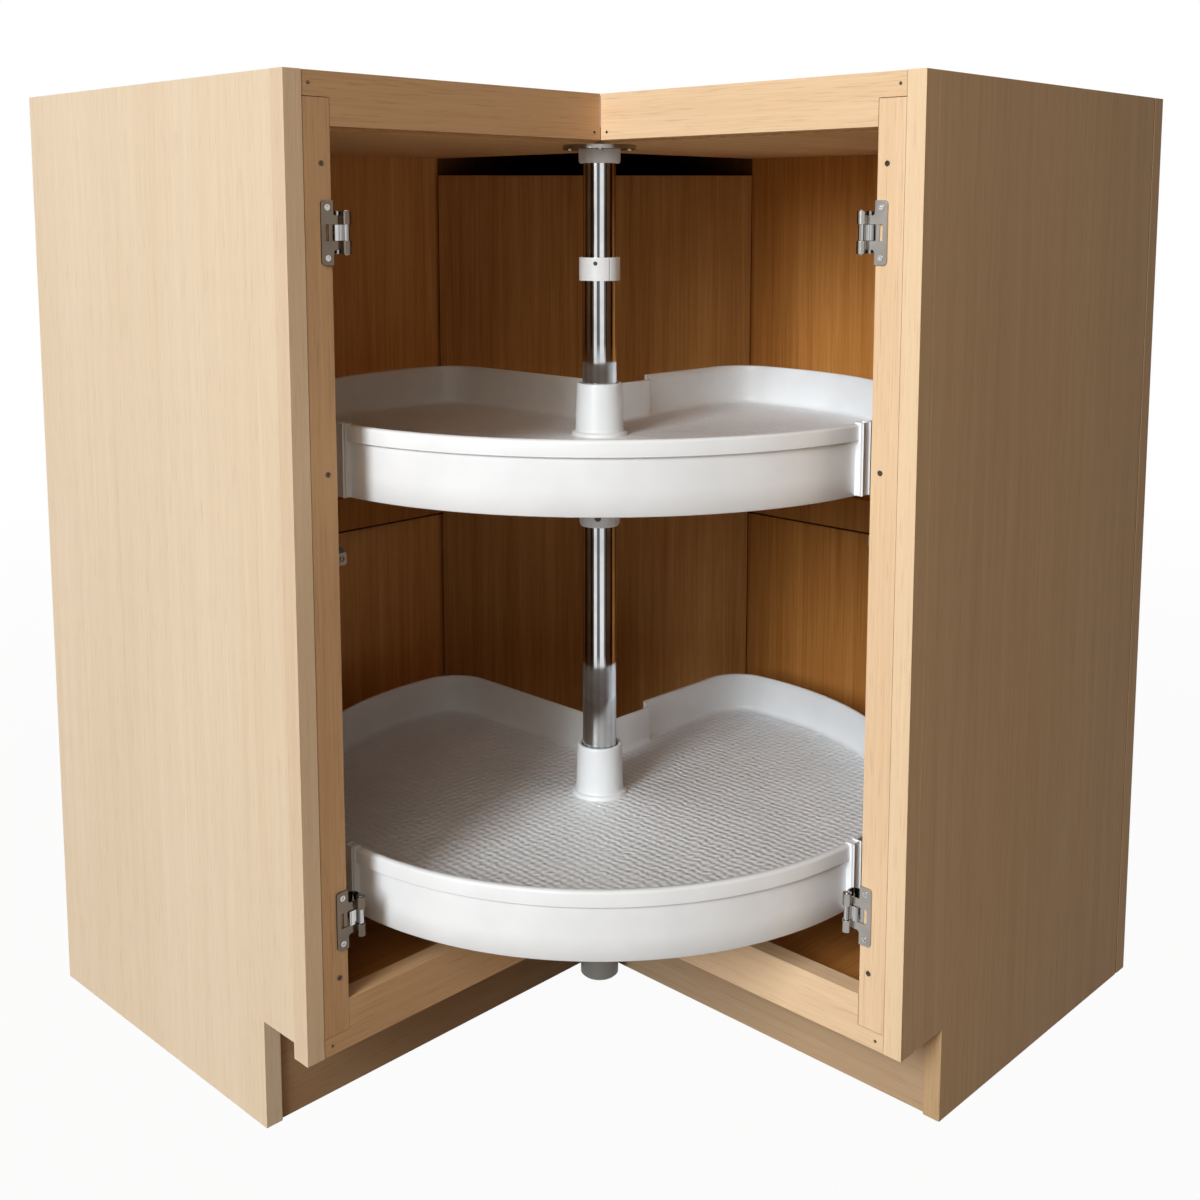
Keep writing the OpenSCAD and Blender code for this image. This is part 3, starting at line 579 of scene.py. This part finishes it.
def tray_mesh(name):
    """One closed skin: wall, floor, hub and sleeve, with the ribs and braces set into it."""
    bm = bmesh.new()
    loops = []
    for inset, z, share in OUTSIDE + INSIDE:
        drop = JOG_DROP if z > LIP_FOOT else 0
        plan = outline(inset, LIP_OUT * share)
        loops.append(loop(bm, [(x, y, z - (drop if stepped else 0)) for x, y, stepped in plan]))
    skin(bm, loops)
    plate(bm, loops[-1], turned(bm, HUB), 1)
    ceiling = loop(bm, [(x, y, -UNDER) for x, y, _ in outline(SKIRT)])
    skin(bm, [ceiling, loops[0]])
    plate(bm, ceiling, turned(bm, BELOW), 0)
    for side in (180 - RIB_ANGLE, 270 + RIB_ANGLE):
        t = math.radians(side)
        reach = RADIUS + (RIB_OUT - RIB_SUNK) / 2
        block(bm, (reach * math.cos(t), reach * math.sin(t), RIB_MIDDLE),
              (RIB_OUT + RIB_SUNK, RIB_WIDTH, RIB_HEIGHT), side, RIB_ROUND)
    nub = NUB_FROM_AXIS / math.sqrt(2)
    block(bm, (-nub, -nub, -DEPTH), NUB_SIZE, 45, NUB_ROUND)
    braces(bm)
    bmesh.ops.recalc_face_normals(bm, faces=bm.faces)
    mark_sharp(bm, TRAY_SHARP_FROM)
    mesh = bpy.data.meshes.new(name)
    bm.to_mesh(mesh)
    bm.free()
    return mesh


for node, rim in RIMS.items():
    mesh = tray_mesh(node + "_mesh")
    mesh.transform(Matrix.Translation((0, 0, rim * MM)))
    piece = add(node + "_look", mesh, BODY_OF[node], SLOT_OF[node], "white", "ribbed")
    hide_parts(node)


# ---------------------------------------------------------------- stage, light and camera
AMBIENT, WHITE = (0.09, 0.055, 0.03), (1.0, 1.0, 1.0)
FLOOR_COLOUR, FLOOR_GLOW, FLOOR_FADE = (0.34, 0.28, 0.23, 1.0), 0.96, (0.9, 3.0)
FLOOR_HALF = 60  # metres
COOL, WARM, SOFT_WHITE = (0.93, 0.97, 1.0), (1.0, 0.86, 0.72), (1.0, 0.97, 0.93)
AIM = Vector((0, 0, 0.45))
LAMPS = {  # facing and height in degrees, distance, size, power, colour
    "key": (193, 24, 6.0, (1.8, 4.0), 278, COOL),
    "side": (181, 20, 6.0, (1.6, 3.0), 25, COOL),
    "front": (214, 32, 4.0, (2.0, 2.0), 27, WARM),
    "back": (45, 30, 5.0, (3.0, 3.0), 110, SOFT_WHITE),
}
LENS_MM, SENSOR_MM, IMAGE = 43.67, 36.0, 1200
CAMERA_AT = (-1.0065, -0.9763, 0.7685)
CAMERA_FACING, CAMERA_TILT = 44.11, -6.95
OPTICAL_ROW = 390
NEAREST, FARTHEST = 0.05, 200


def direction(facing, height):
    """The unit vector at these angles, in degrees, from +X and from level."""
    turn, rise = math.radians(facing), math.radians(height)
    level = math.cos(rise)
    return Vector((level * math.cos(turn), level * math.sin(turn), math.sin(rise)))


def seen_directly(tree):
    """1 for camera, glossy and transmitted rays, which see the white studio; 0 for the rest."""
    path = tree.nodes.new("ShaderNodeLightPath")
    seen = path.outputs["Is Camera Ray"]
    for ray in ("Is Glossy Ray", "Is Transmission Ray"):
        either = tree.nodes.new("ShaderNodeMath")
        either.operation = "MAXIMUM"
        tree.links.new(seen, either.inputs[0])
        tree.links.new(path.outputs[ray], either.inputs[1])
        seen = either.outputs[0]
    return seen


def studio_world():
    """A white studio to look at, and a weak warm light in the shadows."""
    world = bpy.data.worlds.new("studio")
    bpy.context.scene.world = world
    world.use_nodes = True
    tree = world.node_tree
    tree.nodes.clear()
    mix = tree.nodes.new("ShaderNodeMixShader")
    tree.links.new(seen_directly(tree), mix.inputs[0])
    for colour, socket in ((AMBIENT, mix.inputs[1]), (WHITE, mix.inputs[2])):
        background = tree.nodes.new("ShaderNodeBackground")
        background.inputs["Color"].default_value = (*colour, 1)
        tree.links.new(background.outputs[0], socket)
    out = tree.nodes.new("ShaderNodeOutputWorld")
    tree.links.new(mix.outputs[0], out.inputs["Surface"])


def floor():
    """A pale floor that fades to the white of the studio away from the object."""
    look = Look("pale_floor")
    look.set(Roughness=0.9, Specular_IOR_Level=0.1)
    cloud = look.noise((3, 3, 3), detail=2)
    colour = look.blend(cloud, FLOOR_COLOUR, shaded(FLOOR_COLOUR, 1.04))
    look.link(colour, look.shader.inputs["Base Color"])
    away = look.node("ShaderNodeVectorMath", operation="LENGTH")
    look.link(look.coords, away.inputs[0])
    share = look.stretch(away.outputs["Value"], *FLOOR_FADE, FLOOR_GLOW, 1.0)
    glow = look.node("ShaderNodeEmission", Color=(*WHITE, 1), Strength=1.0)
    mix = look.node("ShaderNodeMixShader")
    look.link(look.math("MULTIPLY", seen_directly(look.tree), share), mix.inputs[0])
    look.link(look.shader.outputs[0], mix.inputs[1])
    look.link(glow.outputs[0], mix.inputs[2])
    look.link(mix.outputs[0], look.tree.nodes["Material Output"].inputs["Surface"])
    mesh = bpy.data.meshes.new("floor")
    signs = ((-1, -1), (1, -1), (1, 1), (-1, 1))
    corners = [(x * FLOOR_HALF, y * FLOOR_HALF, 0) for x, y in signs]
    mesh.from_pydata(corners, [], [(0, 1, 2, 3)])
    mesh.materials.append(look.material)
    plane = bpy.data.objects.new("floor", mesh)
    bpy.context.scene.collection.objects.link(plane)


def lamp(name, facing, height, distance, size, power, colour):
    """A soft lamp that looks at the cabinet's middle."""
    data = bpy.data.lights.new(name, "AREA")
    data.shape, data.energy, data.color = "ELLIPSE", power, colour
    data.size, data.size_y = size
    made = bpy.data.objects.new(name, data)
    towards = direction(facing, height)
    made.location = AIM + distance * towards
    made.rotation_euler = towards.to_track_quat("Z", "Y").to_euler()
    bpy.context.scene.collection.objects.link(made)


studio_world()
floor()
for name, values in LAMPS.items():
    lamp(name, *values)

camera = bpy.data.objects.new("camera", bpy.data.cameras.new("camera"))
bpy.context.scene.collection.objects.link(camera)
camera.location = CAMERA_AT
forward = direction(CAMERA_FACING, CAMERA_TILT)
camera.rotation_euler = forward.to_track_quat("-Z", "Y").to_euler()
camera.data.lens, camera.data.sensor_width = LENS_MM, SENSOR_MM
camera.data.shift_y = (OPTICAL_ROW - IMAGE / 2) / IMAGE
camera.data.clip_start, camera.data.clip_end = NEAREST, FARTHEST
bpy.context.scene.camera = camera
bpy.context.scene.view_settings.view_transform = "Standard"
